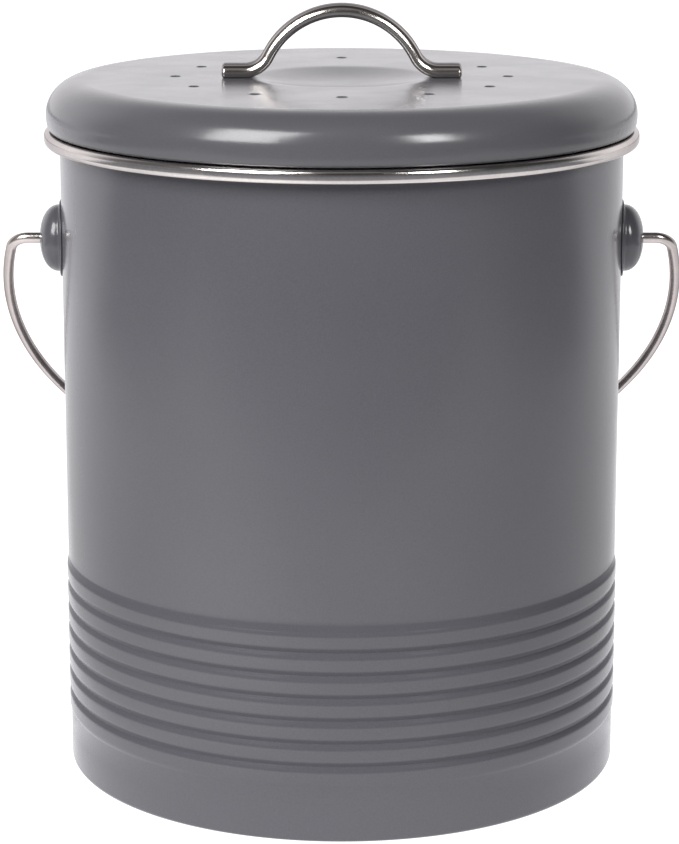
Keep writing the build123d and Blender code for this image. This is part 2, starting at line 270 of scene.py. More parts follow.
# Moulded plastics and rubber: spark-eroded grain, faint flow marks that lie level, and dust
mouldPattern = dict(flowScale=22, flowFlatness=5, dustScale=120, flowInColour=0.6, flowInRough=0.5,
                    range=(0.35, 0.65))
innerPlastic = dict(dark=(0.085, 0.086, 0.09, 1), light=(0.11, 0.111, 0.116, 1), grainScale=2600,
                    grainDepth=0.012 * mm, roughLow=0.42, roughHigh=0.56)
coverPlastic = dict(dark=(0.060, 0.060, 0.064, 1), light=(0.080, 0.080, 0.084, 1), grainScale=2200,
                    grainDepth=0.015 * mm, roughLow=0.45, roughHigh=0.6)
gasketRubber = dict(dark=(0.035, 0.035, 0.036, 1), light=(0.055, 0.055, 0.056, 1), grainScale=1500,
                    grainDepth=0.006 * mm, roughLow=0.55, roughHigh=0.75)


def mouldedPlastic(name, look):
    # Flow marks and dust in the colour and the gloss, and grain in the surface
    material, root = startMaterial(name)
    coords = coordinates(root, "Object")
    grain = noise(root, coords, look["grainScale"], detail=3.0, roughness=0.6)
    flattened = stretched(root, coords, (1, 1, mouldPattern["flowFlatness"]))
    flow = noise(root, flattened, mouldPattern["flowScale"], detail=4.0, roughness=0.6)
    dust = noise(root, coords, mouldPattern["dustScale"], detail=6.0, roughness=0.7)
    share = ramp(root, mixed(flow, dust, mouldPattern["flowInColour"]), *mouldPattern["range"])
    colour = blendColours(root, share, look["dark"], look["light"])
    marks = mixed(flow, dust, mouldPattern["flowInRough"])
    rough = ramp(root, marks, *mouldPattern["range"], look["roughLow"], look["roughHigh"])
    finishMaterial(root, {"Base Color": colour, "Roughness": rough,
                          "Normal": bump(root, grain, look["grainDepth"])})
    return material


# Zinc plate on the screws and washers: small crystals in patches, and level lines from turning
zincPlate = dict(dark=(0.46, 0.46, 0.47, 1), light=(0.66, 0.66, 0.65, 1), crystalScale=900,
                 lineScale=1500, lineFlatness=12, patchScale=300, crystalShare=0.5,
                 colourRange=(0.2, 0.7), roughRange=(0.3, 0.7), roughLow=0.26, roughHigh=0.42,
                 lineDepth=0.004 * mm)


def zinc(name, look):
    # Crystals and patches in the colour, patches in the gloss, and lines in the surface
    material, root = startMaterial(name)
    coords = coordinates(root, "Object")
    crystals = root.node("ShaderNodeTexVoronoi", {}, {"Vector": coords, "Scale": look["crystalScale"]})
    flattened = stretched(root, coords, (1, 1, look["lineFlatness"]))
    lines = noise(root, flattened, look["lineScale"], detail=2.0)
    patches = noise(root, coords, look["patchScale"], detail=4.0)
    share = ramp(root, mixed(crystals, patches, look["crystalShare"]), *look["colourRange"])
    colour = blendColours(root, share, look["dark"], look["light"])
    rough = ramp(root, patches, *look["roughRange"], look["roughLow"], look["roughHigh"])
    finishMaterial(root, {"Base Color": colour, "Roughness": rough, "Metallic": 1.0,
                          "Normal": bump(root, lines, look["lineDepth"])})
    return material


# Felted charcoal: matted fibres with dark grains caught in them
charcoalFelt = dict(dark=(0.012, 0.012, 0.013, 1), light=(0.050, 0.050, 0.052, 1),
                    fibreScale=700, grainScale=650, fibreDepth=0.15 * mm, grainDepth=0.1 * mm,
                    twistScale=160, twistReach=(6 * mm, 6 * mm, 6 * mm), colourRange=(0.45, 0.75),
                    fibresAlong=(1, 4, 2), fibresAcross=(4, 1, 2), grainStrength=0.6, rough=0.95,
                    specular=0.2)


def felt(name, look):
    # Two crossing sets of stretched noise on coordinates that a third one bends, and the greater
    # of the two is the fibre on top
    material, root = startMaterial(name)
    coords = coordinates(root, "Object")
    twist = {"Vector": coords, "Scale": look["twistScale"], "Detail": 2.0}
    twisted = root.node("ShaderNodeTexNoise", {}, twist, "Color")
    bent = root.node("ShaderNodeVectorMath", {"operation": "MULTIPLY_ADD"},
                     {0: twisted, 1: look["twistReach"], 2: coords})
    along = stretched(root, bent, look["fibresAlong"])
    across = stretched(root, bent, look["fibresAcross"])
    fibres = noise(root, along, look["fibreScale"], detail=3.0, roughness=0.7)
    crossing = noise(root, across, look["fibreScale"], detail=3.0, roughness=0.7)
    grains = root.node("ShaderNodeTexVoronoi", {}, {"Vector": coords, "Scale": look["grainScale"]})
    matted = root.maths("MAXIMUM", fibres, crossing)
    share = ramp(root, matted, *look["colourRange"])
    colour = blendColours(root, share, look["dark"], look["light"])
    normal = bump(root, matted, look["fibreDepth"])
    normal = bump(root, grains, look["grainDepth"], look["grainStrength"], normal)
    finishMaterial(root, {"Base Color": colour, "Roughness": look["rough"], "Normal": normal,
                          "Specular IOR Level": look["specular"]})
    return material


bodyPaint = powderCoat("body_powder_coat", bodyCoat)
lidPaint = powderCoat("lid_powder_coat", lidCoat)
rimMetal = polishedMetal("rim_polished_steel", rimSteel)
bailMetal = polishedMetal("bail_drawn_steel", bailSteel)
handleMetal = polishedMetal("handle_nickel_plate", handleNickel)
linerPlastic = mouldedPlastic("inner_moulded_plastic", innerPlastic)
filterPlastic = mouldedPlastic("cover_moulded_plastic", coverPlastic)
sealRubber = mouldedPlastic("gasket_silicone", gasketRubber)
screwZinc = zinc("fastener_zinc", zincPlate)
filterFelt = felt("charcoal_felt", charcoalFelt)


print("surfaces")


def addGrid(name, points, material, loop=False, caps=(False, False)):
    # points[i, j] is the point i along the shape and j round it, and four neighbours make a face.
    # loop joins the last i to the first, and caps close the two ends.
    rows, columns = points.shape[:2]
    alongCount = rows if loop else rows - 1
    i, j = np.meshgrid(np.arange(alongCount), np.arange(columns), indexing="ij")
    nextI, nextJ = (i + 1) % rows, (j + 1) % columns
    corners = [i * columns + j, i * columns + nextJ, nextI * columns + nextJ, nextI * columns + j]
    faces = np.stack(corners, -1).reshape(-1, 4).tolist()
    along = np.stack([i, i, i + 1, i + 1], -1) / alongCount
    across = np.stack([j, j + 1, j + 1, j], -1) / columns
    uv = np.stack([along, across], -1).reshape(-1, 2)
    vertices = points.reshape(-1, 3)
    edge = np.arange(columns)
    following = (edge + 1) % columns
    for end, closed in enumerate(caps):
        if closed:
            ring = edge + end * (rows - 1) * columns
            after = following + end * (rows - 1) * columns
            centre = np.full(columns, len(vertices))
            vertices = np.vstack([vertices, points[-end].mean(0)])
            pair = [ring, after] if end else [after, ring]
            faces += np.stack([centre, *pair], -1).tolist()
            capUv = np.stack([np.full(3 * columns, float(end)), np.repeat(edge / columns, 3)], -1)
            uv = np.vstack([uv, capUv])
    mesh = bpy.data.meshes.new(name)
    mesh.from_pydata(vertices.tolist(), [], faces)
    mesh.uv_layers.new(name="UVMap").data.foreach_set("uv", uv.astype(np.float32).ravel())
    mesh.polygons.foreach_set("use_smooth", np.ones(len(faces), bool))
    mesh.materials.append(material)
    mesh.update()
    piece = bpy.data.objects.new(name, mesh)
    bpy.context.scene.collection.objects.link(piece)
    return piece


def turned(profile, angles):
    # Profile points (r, z) carried round the axis: (r cos a, r sin a, z)
    radius, height = profile[:, 0, None], profile[:, 1, None]
    around = [radius * np.cos(angles), radius * np.sin(angles), height + 0 * angles]
    return np.stack(around, -1)


def swept(path, tangents, normal, sections):
    # sections[i] holds offsets (across, up) at path point i: point + across * normal + up * side,
    # where side is the tangent crossed with the normal
    side = np.cross(tangents, normal)
    return path[:, None] + sections[..., 0, None] * normal + sections[..., 1, None] * side[:, None]


def rounded(corners, radius, steps=5):
    # A closed outline with each corner cut back by the radius and replaced by a curve,
    # (1-t)^2 before + 2t(1-t) corner + t^2 after
    corners = np.array(corners, float)
    toBefore = np.roll(corners, 1, 0) - corners
    toAfter = np.roll(corners, -1, 0) - corners
    before = corners + toBefore / np.linalg.norm(toBefore, axis=1, keepdims=True) * radius
    after = corners + toAfter / np.linalg.norm(toAfter, axis=1, keepdims=True) * radius
    t = np.linspace(0, 1, steps)[:, None, None]
    curve = (1 - t) ** 2 * before + 2 * t * (1 - t) * corners + t**2 * after
    return curve.transpose(1, 0, 2).reshape(-1, 2)


def arc(centre, across, up, start, end, count, power=2.0):
    # Points of an ellipse from one angle to another, squared off where the power is above 2
    angle = np.radians(np.linspace(start, end, count))
    c, s = np.cos(angle), np.sin(angle)
    return np.stack([centre[0] + across * np.sign(c) * np.abs(c) ** (2 / power),
                     centre[1] + up * np.sign(s) * np.abs(s) ** (2 / power)], -1)


def smoothStep(value, low, high):
    # 0 below low, 1 above high, and 3t^2 - 2t^3 between them
    t = np.clip((value - low) / (high - low), 0, 1)
    return t * t * (3 - 2 * t)


wallRadius = wallHigh.y - wall["ribRise"]
seamAngle = pi / 2
leastStep = radians(0.12)


def ringAngles(count, closeUp):
    # Even steps round the ring, and finer ones in the close-up of the seam. An angle less than the
    # least step past the one before it is left out.
    half, step = closeUp
    even = np.linspace(0, 2 * pi, count, endpoint=False)
    fine = degrees(seamAngle) + np.linspace(-half, half, int(2 * half / step) + 1)
    angles = np.sort(np.concatenate([even, np.radians(fine)]))
    keep = np.append(True, np.diff(angles) > leastStep)
    return angles[keep]


def ribHeights(inset, steps):
    # Each rib has a flat crest between two arcs, r = c + sqrt(R^2 - z^2). The end ribs run out on the
    # plain wall. Each pass softens the valleys with a quarter, a half and a quarter of three radii.
    height = wall["ribRise"] + wall["ribValley"]
    halfFlat = wall["ribFlat"] / 2
    side = wall["ribPitch"] / 2 - halfFlat
    reach = (height**2 + side**2) / (2 * height) - inset
    centre = wallRadius + wall["ribRise"] - reach - inset
    runOut = sqrt(reach**2 - (reach - wall["ribRise"]) ** 2)
    rows = []
    for number in range(wall["ribCount"]):
        crest = wall["lowestRib"] + number * wall["ribPitch"]
        below = runOut if number == 0 else side
        above = runOut if number == wall["ribCount"] - 1 else side
        for level, low, high in ((crest - halfFlat, -below, 0), (crest + halfFlat, 0, above)):
            z = np.linspace(low, high, steps)
            rows.append(np.stack([centre + np.sqrt(reach**2 - z**2), level + z], -1))
    ribs = np.concatenate(rows)
    for _ in range(wall["valleyPasses"]):
        ribs[1:-1, 0] = (ribs[:-2, 0] + 2 * ribs[1:-1, 0] + ribs[2:, 0]) / 4
    return ribs


def wallSide(inset, share):
    # One side of the sheet from the foot up, as (r, z), with a share of the steps
    side = wallRadius - inset
    bend = wall["footBend"]
    ribs = ribHeights(inset, int(wall["ribSteps"] * share))
    top = wallHigh.z - wall["edgeRound"]
    plain = np.linspace(ribs[-1, 1] + wall["plainFrom"], top, int(wall["plainSteps"] * share))
    return np.vstack([
        arc((wallRadius - bend, bend), bend - inset, bend - inset, -90, 0, int(wall["bendSteps"] * share)),
        [(side, ribs[0, 1] - wall["ribPitch"])],
        ribs,
        np.stack([np.full(len(plain), side), plain], -1),
    ])


def makeWall():
    # r(z) turned about the axis, plus the weld, height * exp(-(arc length / width)^2), on its outer
    # rows alone: the outside and the outer half of the top edge. It fades in above the foot bend.
    half, edgeSteps = wall["thickness"] / 2, wall["edgeSteps"]
    outside = wallSide(0, 1.0)
    inside = wallSide(wall["thickness"], wall["insideShare"])[::-1]
    top = arc((wallRadius - half, wallHigh.z - wall["edgeRound"]), half, wall["edgeRound"],
              0, 180, edgeSteps)[1:-1]
    footEdge = wallRadius - wall["footBend"] - wall["footFlange"]
    foot = arc((footEdge + half, half), half, half, 90, 270, edgeSteps)
    profile = np.vstack([outside, top, inside, foot])
    isOuter = np.arange(len(profile)) < len(outside) + len(top) // 2
    angles = ringAngles(wall["columns"], wall["seamCloseUp"])
    radius, height = profile[:, 0, None], profile[:, 1, None]
    weld = np.exp(-((wallRadius * (angles - seamAngle) / wall["seamWidth"]) ** 2))
    fade = smoothStep(height, wall["footBend"], wall["footBend"] + wall["seamFade"])
    onWall = isOuter[:, None] * fade
    radius = np.minimum(radius + onWall * weld * wall["seamHeight"], wallHigh.y)
    grid = np.stack([radius * np.cos(angles), radius * np.sin(angles), height + 0 * angles], -1)
    piece = addGrid("bucket_wall_skin", grid, bodyPaint, loop=True)
    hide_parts("bucket_wall")
    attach(piece, "bucket")


# Rolled rim, its roll closed against the wall and its ends butt-welded at the back
rim = dict(halfWidth=2.8 * mm, power=2.9, wallGap=0.05 * mm, weldDip=0.08 * mm, weldWidth=0.4 * mm,
           seamCloseUp=(1.2, 0.15), columns=300, rollSteps=72, flatSteps=6)


def makeRim():
    # A squared ellipse, |x/a|^n + |z/b|^n = 1, flat where it meets the wall, turned about the axis.
    # It dips a little at its weld.
    halfHeight = (rimHigh.z - rimLow.z) / 2
    centre = (rimHigh.y - rim["halfWidth"], (rimHigh.z + rimLow.z) / 2)
    toWall = centre[0] - wallRadius - rim["wallGap"]
    end = 180 - np.degrees(np.arccos((toWall / rim["halfWidth"]) ** (rim["power"] / 2)))
    roll = arc((0, 0), rim["halfWidth"], halfHeight, -end, end, rim["rollSteps"], rim["power"])
    flat = roll[-1] + (roll[0] - roll[-1]) * np.linspace(0, 1, rim["flatSteps"])[1:-1, None]
    section = np.vstack([roll, flat])
    angles = ringAngles(rim["columns"], rim["seamCloseUp"])
    dip = rim["weldDip"] * np.exp(-((centre[0] * (angles - seamAngle) / rim["weldWidth"]) ** 2))
    shrink = 1 - dip / halfHeight
    radius = centre[0] + section[:, 0, None] * shrink
    height = centre[1] + section[:, 1, None] * shrink
    grid = np.stack([radius * np.cos(angles), radius * np.sin(angles), height], -1)
    piece = addGrid("rim_bead", grid, rimMetal, loop=True)
    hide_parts("rim_ring")
    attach(piece, "bucket")


# Stamped ears: a dome on a short neck, a flange curved to the wall, and a hole for the wire
ear = dict(neckHeight=1.0 * mm, flangeThickness=0.7 * mm, flangeWidth=1.7 * mm, shell=1.0 * mm,
           seatGap=0.05 * mm, domePower=2.2, holeRadius=1.78 * mm, holeRound=0.4 * mm,
           holeBevel=0.12 * mm, blend=1.0 * mm, columns=144, outsideSteps=64, insideSteps=30,
           blendSteps=9, edgeSteps=11)
earBase = wallRadius + ear["neckHeight"]


def makeEar(side, name, node):
    # Turned about X. s is the distance from the ear's axis. The dome is a squared ellipse on its
    # base, and the flange lies on the wall at x = sqrt((R + height)^2 - y^2). A curve joins the two.
    around = np.linspace(0, 2 * pi, ear["columns"], endpoint=False)
    flangeRadius = (earHigh.z - earLow.z) / 2
    dome = flangeRadius - ear["flangeWidth"]
    hole, lip = ear["holeRadius"], ear["holeRadius"] + ear["holeRound"]
    base = earBase + ear["seatGap"]
    flatTip = (1 - (lip / dome) ** ear["domePower"]) ** (1 / ear["domePower"])
    rise = (earHigh.x - base) / flatTip

    def onWall(s, height):
        y = s * np.cos(around)
        return np.sqrt((wallRadius + ear["seatGap"] + height) ** 2 - y**2)

    def domeRows(reach, tall, count):
        half = arc((0, 0), reach, tall, 90, 0, count, ear["domePower"])
        half = half[half[:, 0] > lip]
        return half[:, :1] + 0 * around, base + half[:, 1:] + 0 * around

    outerS, outerX = domeRows(dome, rise, ear["outsideSteps"])
    innerS, innerX = domeRows(dome - ear["shell"], rise - ear["shell"], ear["insideSteps"])
    t = np.linspace(0, 1, ear["blendSteps"])[1:, None]
    flangeTop = ear["flangeThickness"]
    cornerX, endX = onWall(dome, flangeTop), onWall(dome + ear["blend"], flangeTop)
    filletS = dome + ear["blend"] * t**2 + 0 * around
    filletX = (1 - t) ** 2 * base + 2 * t * (1 - t) * cornerX + t**2 * endX
    edgeRound = flangeTop / 2
    edge = arc((flangeRadius - edgeRound, edgeRound), edgeRound, edgeRound, 90, -90, ear["edgeSteps"])
    edgeS = edge[:, :1] + 0 * around
    edgeX = onWall(edge[:, :1], edge[:, 1:])
    footS = np.full((1, len(around)), dome - ear["shell"])
    footX = onWall(dome - ear["shell"], 0)[None]
    tip, bevel = earHigh.x, ear["holeBevel"]
    lipS = np.array([[lip], [hole], [hole], [hole + bevel]]) + 0 * around
    lipX = np.array([[tip - ear["shell"]], [tip - ear["shell"]], [tip - ear["holeRound"]],
                     [tip - bevel]]) + 0 * around
    s = np.vstack([outerS, filletS, edgeS, footS, innerS[::-1], lipS])
    x = np.vstack([outerX, filletX, edgeX, footX, innerX[::-1], lipX])
    grid = np.stack([side * x, side * s * np.cos(around), pivotHeight + s * np.sin(around)], -1)
    piece = addGrid(name, grid[:, ::-side], bodyPaint, loop=True)
    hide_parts(node)
    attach(piece, "bucket")


def centreline(pieces):
    # Straight runs (start, end, count) and arcs (centre, radius, start, end, count), end to end
    points, tangents = [], []
    for piece in pieces:
        if len(piece) == 3:
            start, end, count = np.array(piece[0]), np.array(piece[1]), piece[2]
            line = np.linspace(start, end, count)
            direction = (end - start) / np.linalg.norm(end - start) + 0 * line
        else:
            centre, radius, start, end, count = piece
            angle = np.linspace(start, end, count)
            line = np.array(centre) + radius * np.stack([np.cos(angle), np.sin(angle)], -1)
            direction = np.stack([-np.sin(angle), np.cos(angle)], -1) * np.sign(end - start)
        skip = 1 if points else 0
        points.append(line[skip:])
        tangents.append(direction[skip:])
    return np.vstack(points), np.vstack(tangents)


# Bail: one round wire whose ends are upset inside the ears
bail = dict(wireRadius=1.7 * mm, cornerRadius=6.0 * mm, drop=29.0 * mm, armLength=10.2 * mm,
            endInset=2.2 * mm, headRadius=2.7 * mm, headLength=1.2 * mm, headTaper=0.8,
            wallGap=0.3 * mm, sides=32, headSteps=5, armSteps=8, cornerSteps=26, bowSteps=220)


def makeBail():
    # Head, straight arm, tight corner, large bow, corner, arm and head, and a circle round the line
    # that is wider at the heads. It leans back until its bow rests near the wall.
    across = earBase + bail["armLength"]
    corner = bail["cornerRadius"]
    fall = bail["drop"] - corner
    bow = corner + sqrt(across**2 + fall**2)
    spread = atan2(fall, across)
    end = earBase + bail["endInset"]
    headEnd = end + bail["headLength"]
    line, tangents = centreline([
        ((end, 0), (headEnd, 0), bail["headSteps"]),
        ((headEnd, 0), (across, 0), bail["armSteps"]),
        ((across, -corner), corner, pi / 2, spread, bail["cornerSteps"]),
        ((0, -bail["drop"]), bow, spread, -pi - spread, bail["bowSteps"]),
        ((-across, -corner), corner, pi - spread, pi / 2, bail["cornerSteps"]),
        ((-across, 0), (-headEnd, 0), bail["armSteps"]),
        ((-headEnd, 0), (-end, 0), bail["headSteps"]),
    ])
    lean = asin((wallRadius + bail["wallGap"] + bail["wireRadius"]) / (bail["drop"] + bow))
    normal = np.array([0, cos(lean), sin(lean)])
    right, up = np.array([1, 0, 0]), np.array([0, -sin(lean), cos(lean)])
    path = line[:, :1] * right + line[:, 1:] * up + np.array([0, 0, pivotHeight])
    along = tangents[:, :1] * right + tangents[:, 1:] * up
    fromEnd = np.minimum(np.arange(len(line)), np.arange(len(line))[::-1])
    radius = np.where(fromEnd < bail["headSteps"], bail["headRadius"], bail["wireRadius"])
    radius = np.where(fromEnd == 0, bail["headRadius"] * bail["headTaper"], radius)
    around = np.linspace(0, 2 * pi, bail["sides"], endpoint=False)
    circle = np.stack([np.cos(around), np.sin(around)], -1)
    sections = radius[:, None, None] * circle
    piece = addGrid("bail_wire", swept(path, along, normal, sections), bailMetal, caps=(True, True))
    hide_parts("bail_handle")
    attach(piece, "bail")


# Lid handle: a strap bent over an arch, with two flat feet, rounder on its upper edges
strap = dict(topRound=2.4 * mm, bottomRound=1.0 * mm, crown=0.10 * mm, endRound=1.0 * mm,
             archRadius=26.2 * mm, archSink=5.1 * mm, bendRadius=8.5 * mm, thickness=4.0 * mm,
             leastRound=0.3 * mm, endSteps=10, footSteps=8, bendSteps=30, archSteps=120,
             cornerSteps=11)


def makeStrap():
    # Foot, bend, arch, bend, foot, and a rounded rectangle that shrinks into each end by a quarter
    # circle, inset = r - sqrt(r^2 - (r - distance)^2). The crown rounds its two broad faces.
    lidTop, halfLength, halfWidth = strapLow.z, strapHigh.x, strapHigh.y
    foot = lidTop + strap["thickness"] / 2
    bendHeight = foot + strap["bendRadius"]
    archHeight = lidTop - strap["archSink"]
    rise = bendHeight - archHeight
    bendAcross = sqrt((strap["archRadius"] + strap["bendRadius"]) ** 2 - rise**2)
    slope = atan2(rise, bendAcross)
    endStart = halfLength - strap["endRound"]
    line, tangents = centreline([
        ((halfLength, foot), (endStart, foot), strap["endSteps"]),
        ((endStart, foot), (bendAcross, foot), strap["footSteps"]),
        ((bendAcross, bendHeight), strap["bendRadius"], -pi / 2, -pi + slope, strap["bendSteps"]),
        ((0, archHeight), strap["archRadius"], slope, pi - slope, strap["archSteps"]),
        ((-bendAcross, bendHeight), strap["bendRadius"], -slope, -pi / 2, strap["bendSteps"]),
        ((-bendAcross, foot), (-endStart, foot), strap["footSteps"]),
        ((-endStart, foot), (-halfLength, foot), strap["endSteps"]),
    ])
    fromEnd = np.minimum(halfLength - np.abs(line[:, 0]), strap["endRound"])
    inset = strap["endRound"] - np.sqrt(strap["endRound"] ** 2 - (strap["endRound"] - fromEnd) ** 2)
    inset = np.maximum(inset, 0)[:, None]
    t = np.radians(np.linspace(0, 90, strap["cornerSteps"]))
    parts = []
    for signX, signY, turn in ((1, 1, 0), (-1, 1, pi / 2), (-1, -1, pi), (1, -1, 3 * pi / 2)):
        # the sweep's side axis points down, so the lower edges have the plus sign
        edgeRound = strap["bottomRound"] if signY > 0 else strap["topRound"]
        radius = np.maximum(edgeRound - inset, strap["leastRound"])
        reachX = halfWidth - inset - radius
        reachY = strap["thickness"] / 2 - inset - radius
        parts.append(np.stack([signX * reachX + radius * np.cos(t + turn),
                               signY * reachY + radius * np.sin(t + turn)], -1))
    section = np.concatenate(parts, 1)
    fall = strap["crown"] * (section[..., 0] / halfWidth) ** 2
    section[..., 1] -= np.sign(section[..., 1]) * fall
    origin = np.zeros(len(line))
    path = np.stack([line[:, 0], origin, line[:, 1]], -1)
    along = np.stack([tangents[:, 0], origin, tangents[:, 1]], -1)
    grid = swept(path, along, np.array([0, 1, 0]), section)
    piece = addGrid("handle_strap", grid, handleMetal, caps=(True, True))
    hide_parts("lid_handle")
    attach(piece, "lid")


def joinPieces(pieces, name):
    # Makes one object of several
    with bpy.context.temp_override(active_object=pieces[0], selected_editable_objects=pieces):
        bpy.ops.object.join()
    pieces[0].name = name
    pieces[0].data.name = name


# Vents: the coat gathers in a soft lip round each punched hole
vents = dict(count=12, ringRadius=53.0 * mm, holeRadius=1.65 * mm, lipWidth=0.42 * mm,
             lipInset=0.10 * mm, lipHeight=0.09 * mm, lipDepth=0.45 * mm, crestSet=0.1 * mm,
             outerSink=0.02 * mm, innerDrop=0.1 * mm, round=0.05 * mm, roundSteps=4, sides=28)


def makeVentLips():
    # A small rounded outline turned about the axis, and a copy of it moved to each vent. Its crest
    # is set outside the hole, and its outer edge sinks into the lid.
    inner = vents["holeRadius"] - vents["lipInset"]
    outer = vents["holeRadius"] + vents["lipWidth"]
    crest = vents["holeRadius"] + vents["crestSet"]
    top, low = lidHigh.z + vents["lipHeight"], lidHigh.z - vents["lipDepth"]
    corners = [(inner, low), (crest, low), (outer, lidHigh.z - vents["outerSink"]), (crest, top),
               (inner, top - vents["innerDrop"])]
    profile = rounded(corners, vents["round"], vents["roundSteps"])
    lip = turned(profile, np.linspace(0, 2 * pi, vents["sides"], endpoint=False))
    rings = []
    for number in range(vents["count"]):
        angle = 2 * pi * number / vents["count"]
        shift = np.array([cos(angle), sin(angle), 0]) * vents["ringRadius"]
        rings.append(addGrid("lip", lip + shift, lidPaint, loop=True))
    joinPieces(rings, "lid_vent_lips")
    piece = rings[0]
    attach(piece, "lid")


# Gasket: a soft ring with two thin fins that bend up a little at their tips
gasket = dict(width=2.0 * mm, back=0.9 * mm, fin=0.8 * mm, tipShare=0.6, tipLift=0.25 * mm,
              round=0.22 * mm, columns=240)


def makeGasket():
    # An outline of the back and its two tapered fins, with rounded corners, turned about the axis
    inner, outer = gasketHigh.x - gasket["width"], gasketHigh.x
    low, high = gasketLow.z, gasketHigh.z
    back = inner + gasket["back"]
    fin, lift = gasket["fin"], gasket["tipLift"]
    tip = fin * gasket["tipShare"]
    corners = [(inner, low), (back, low), (outer, low + lift), (outer, low + lift + tip),
               (back, low + fin), (back, high - fin), (outer, high - tip), (outer, high),
               (back, high), (inner, high)]
    profile = rounded(corners, gasket["round"])
    angles = np.linspace(0, 2 * pi, gasket["columns"], endpoint=False)
    piece = addGrid("gasket_lips", turned(profile, angles), sealRubber, loop=True)
    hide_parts("lid_gasket")
    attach(piece, "lid")


# Charcoal pad: a felted disc with a soft cut edge and an uneven face
pad = dict(edgeRound=1.6 * mm, hubRadius=0.4 * mm, faceNoise=0.22 * mm, edgeNoise=0.35 * mm, seed=7,
           cells=34, columns=220, rings=46, edgeSteps=7)


def softNoise(rows, columns, cells, seed):
    # Random heights on a coarse lattice that wraps across, eased between its points. The rows stop
    # just short of its last line.
    cellsAround = 3 * cells
    lattice = np.random.default_rng(seed).uniform(-1, 1, (cells + 1, cellsAround))
    u = np.linspace(0, cells - 1e-6, rows)[:, None]
    v = np.linspace(0, cellsAround, columns, endpoint=False)[None]
    i, j = np.floor(u).astype(int), np.floor(v).astype(int)
    a, b = u - i, v - j
    a, b = a * a * (3 - 2 * a), b * b * (3 - 2 * b)
    k = (j + 1) % cellsAround
    low = lattice[i, j] * (1 - b) + lattice[i, k] * b
    high = lattice[i + 1, j] * (1 - b) + lattice[i + 1, k] * b
    return low * (1 - a) + high * a


def makePad():
    # A rounded disc's outline turned about the axis. The noise, brought between 0 and 1, presses
    # both faces in and frays the edge inwards.
    radius, low, high = feltHigh.x, feltLow.z, feltHigh.z
    edge, edgeSteps = pad["edgeRound"], pad["edgeSteps"]
    flat = np.linspace(pad["hubRadius"], radius - edge, pad["rings"])
    bottom = np.stack([flat, np.full(len(flat), low)], -1)
    top = np.stack([flat[::-1], np.full(len(flat), high)], -1)
    profile = np.vstack([bottom, arc((radius - edge, low + edge), edge, edge, -90, 0, edgeSteps)[1:],
                         arc((radius - edge, high - edge), edge, edge, 0, 90, edgeSteps)[:-1], top])
    angles = np.linspace(0, 2 * pi, pad["columns"], endpoint=False)
    uneven = 0.5 + 0.5 * softNoise(len(profile), len(angles), pad["cells"], pad["seed"])
    inward = (high + low) / 2 - profile[:, 1, None]
    face = np.sign(inward) * uneven * pad["faceNoise"]
    frayed = uneven * pad["edgeNoise"] * (profile[:, 0, None] > radius - edge)
    r = profile[:, 0, None] - frayed
    grid = np.stack([r * np.cos(angles), r * np.sin(angles), profile[:, 1, None] + face], -1)
    piece = addGrid("charcoal_pad", grid, filterFelt, caps=(True, True))
    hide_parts("charcoal_filter")
    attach(piece, "filter")


makeWall()
makeRim()
makeEar(1, "ear_dome_right", "ear_cup_right")
makeEar(-1, "ear_dome_left", "ear_cup_left")
makeBail()
makeStrap()
makeVentLips()
makeGasket()
makePad()


print("carried-over pieces")

# These keep the shape that the CAD gave them and get a finish
finishes = {"bucket_base": bodyPaint, "inner_bucket": linerPlastic, "lid_shell": lidPaint,
            "handle_screws": screwZinc, "handle_washers": screwZinc, "inner_lid": linerPlastic,
            "filter_cover": filterPlastic}
for name, material in finishes.items():
    piece = frame["nodes"][name]
    piece.data.materials.clear()
    piece.data.materials.append(material)


print("stage")

# The floor: a sheet of paper on a dark table. The paper ends at its edges, each softened by so much
# on either side. Of its lights, the lane and the distant glow start and end at the two values of
# each range, and the spot fades from its inner to its outer radius.
floor = dict(radius=7.0, hubShare=0.002, rings=60, sides=96, toothScale=900, toothDepth=0.02 * mm,
             rough=0.9, specular=0.1, paper=(0.30, 0.30, 0.302, 1), table=(0.08, 0.08, 0.085, 1),
             frontEdge=-0.52, frontSoft=0.14, sideEdge=0.72, backEdge=3.1, soft=0.08,
             wideRange=(0.15, 0.5), tableGlow=(0.19, 0.20, 0.22, 1), paperGlow=(0.74, 0.735, 0.75, 1),
             brightGlow=(1.06, 1.05, 1.09, 1), laneHalf=0.155, laneSpread=0.15,
             laneSide=(-0.015, 0.03), laneRange=(-0.22, -0.04), farRange=(0.3, 0.9),
             farBehind=(-0.3, 0.2), farAcross=(-0.1, 0.1), farRightShare=0.5,
             spotGlow=(1.22, 1.22, 1.22, 1), spotPlace=(-0.21, -0.23, 0), spotInner=0.05, spotOuter=0.24)


